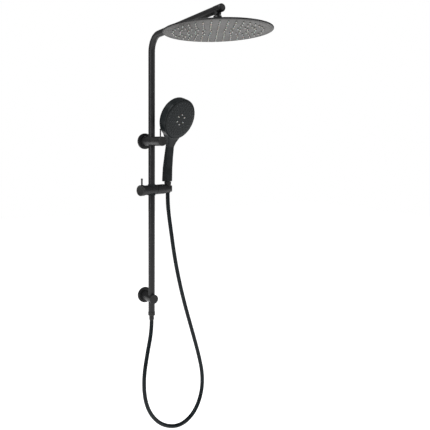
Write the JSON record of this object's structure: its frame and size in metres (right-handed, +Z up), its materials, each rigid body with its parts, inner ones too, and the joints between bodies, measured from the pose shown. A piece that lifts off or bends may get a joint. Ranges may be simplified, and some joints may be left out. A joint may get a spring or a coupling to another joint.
{
  "type": "shower column",
  "caption": "Wall-mounted shower column: bent riser with a large round rain head, diverter handle, sliding handset holder, round handset and hose.",
  "frame": {"origin": "centre of the inlet bracket's face on the wall, on the axis of its supply thread", "axes": "+X right along the wall, +Y into the wall, +Z up; the column stands out from the wall towards -Y"},
  "size_m": [0.3687, 0.6205, 1.3708],
  "materials": {
    "matt_black_metal": "matt black coating with a soft satin sheen",
    "black_plastic": "satin moulded ABS",
    "nozzle_silicone": "matt moulded silicone",
    "hose_pvc": "smooth satin PVC",
    "bare_brass": "machined",
    "zinc_steel": "zinc plated",
    "seal_rubber": "matt"
  },
  "bodies": {
    "column": {"inlet_union": "bare_brass", "inlet_flange": "matt_black_metal", "inlet_body": "matt_black_metal", "diverter_cartridge": "black_plastic", "cartridge_ring": "bare_brass", "inlet_grub_screw": "zinc_steel", "lower_wall_plate": "zinc_steel", "lower_flange": "matt_black_metal", "lower_body": "matt_black_metal", "lower_end_cap": "matt_black_metal", "lower_grub_screw": "zinc_steel", "lower_riser": "matt_black_metal", "upper_riser_and_arm": "matt_black_metal", "arm_end_fitting": "matt_black_metal", "swivel_ball": "bare_brass", "outlet_spigot": "bare_brass", "lower_hose_washer": "seal_rubber", "lower_hose_nut": "matt_black_metal", "lower_hose_ferrule": "matt_black_metal", "shower_hose": "hose_pvc"},
    "diverter_handle": {"diverter_knob": "matt_black_metal", "diverter_spindle": "bare_brass", "diverter_pin": "matt_black_metal", "diverter_grub_screw": "zinc_steel"},
    "ball_seat": {"ball_seat_ring": "black_plastic"},
    "rain_head": {"swivel_nut": "matt_black_metal", "rain_head_body": "matt_black_metal", "rain_head_face": "matt_black_metal", "rain_head_nozzles": "nozzle_silicone", "rain_flow_washer": "black_plastic"},
    "slide_bush": {"slider_bush": "black_plastic"},
    "slider": {"slider_body": "matt_black_metal", "clamp_pad": "black_plastic", "holder_washer": "black_plastic"},
    "lock_handle": {"lock_knob": "matt_black_metal", "lock_pin": "matt_black_metal", "lock_screw": "bare_brass"},
    "holder": {"handset_holder": "matt_black_metal", "holder_grub_screw": "zinc_steel", "hose_cone_nut": "matt_black_metal", "upper_hose_washer": "seal_rubber"},
    "handset": {"handset_body": "black_plastic", "handset_face": "black_plastic", "handset_centre_nozzles": "nozzle_silicone", "handset_outer_nozzles": "nozzle_silicone", "handset_tail": "bare_brass"}
  },
  "joints": [
    {"name": "diverter_turn", "type": "hinge", "parent": "column", "child": "diverter_handle", "pos_m": [0, -0.055, 0], "axis": [0, 1, 0], "range_deg": [-90, 0]},
    {"name": "head_tilt_front", "type": "hinge", "parent": "column", "child": "ball_seat", "pos_m": [0, -0.45586, 0.32391], "axis": [1, 0, 0], "range_deg": [-10, 10]},
    {"name": "head_tilt_side", "type": "hinge", "parent": "ball_seat", "child": "rain_head", "pos_m": [0, -0.45586, 0.32391], "axis": [0, 0.9996, -0.0269], "range_deg": [-10, 10]},
    {"name": "slider_height", "type": "slide", "parent": "column", "child": "slide_bush", "axis": [0, 0, 1], "range_m": [-0.336, 0.128], "deforming": ["shower_hose"]},
    {"name": "slider_swivel", "type": "hinge", "parent": "slide_bush", "child": "slider", "pos_m": [0, -0.055, -0.1635], "axis": [0, 0, 1], "range_deg": [-1, 4]},
    {"name": "lock_turn", "type": "hinge", "parent": "slider", "child": "lock_handle", "pos_m": [0, -0.055, -0.1635], "axis": [0.9511, 0.309, 0], "range_deg": [0, 75]},
    {"name": "holder_tilt", "type": "hinge", "parent": "slider", "child": "holder", "pos_m": [0, -0.055, -0.1635], "axis": [0.9511, 0.309, 0], "range_deg": [-2, 40]},
    {"name": "handset_turn", "type": "hinge", "parent": "holder", "child": "handset", "pos_m": [0.07418, -0.0309, -0.1635], "axis": [0, 0, 1], "range_deg": [0, 15]}
  ]
}
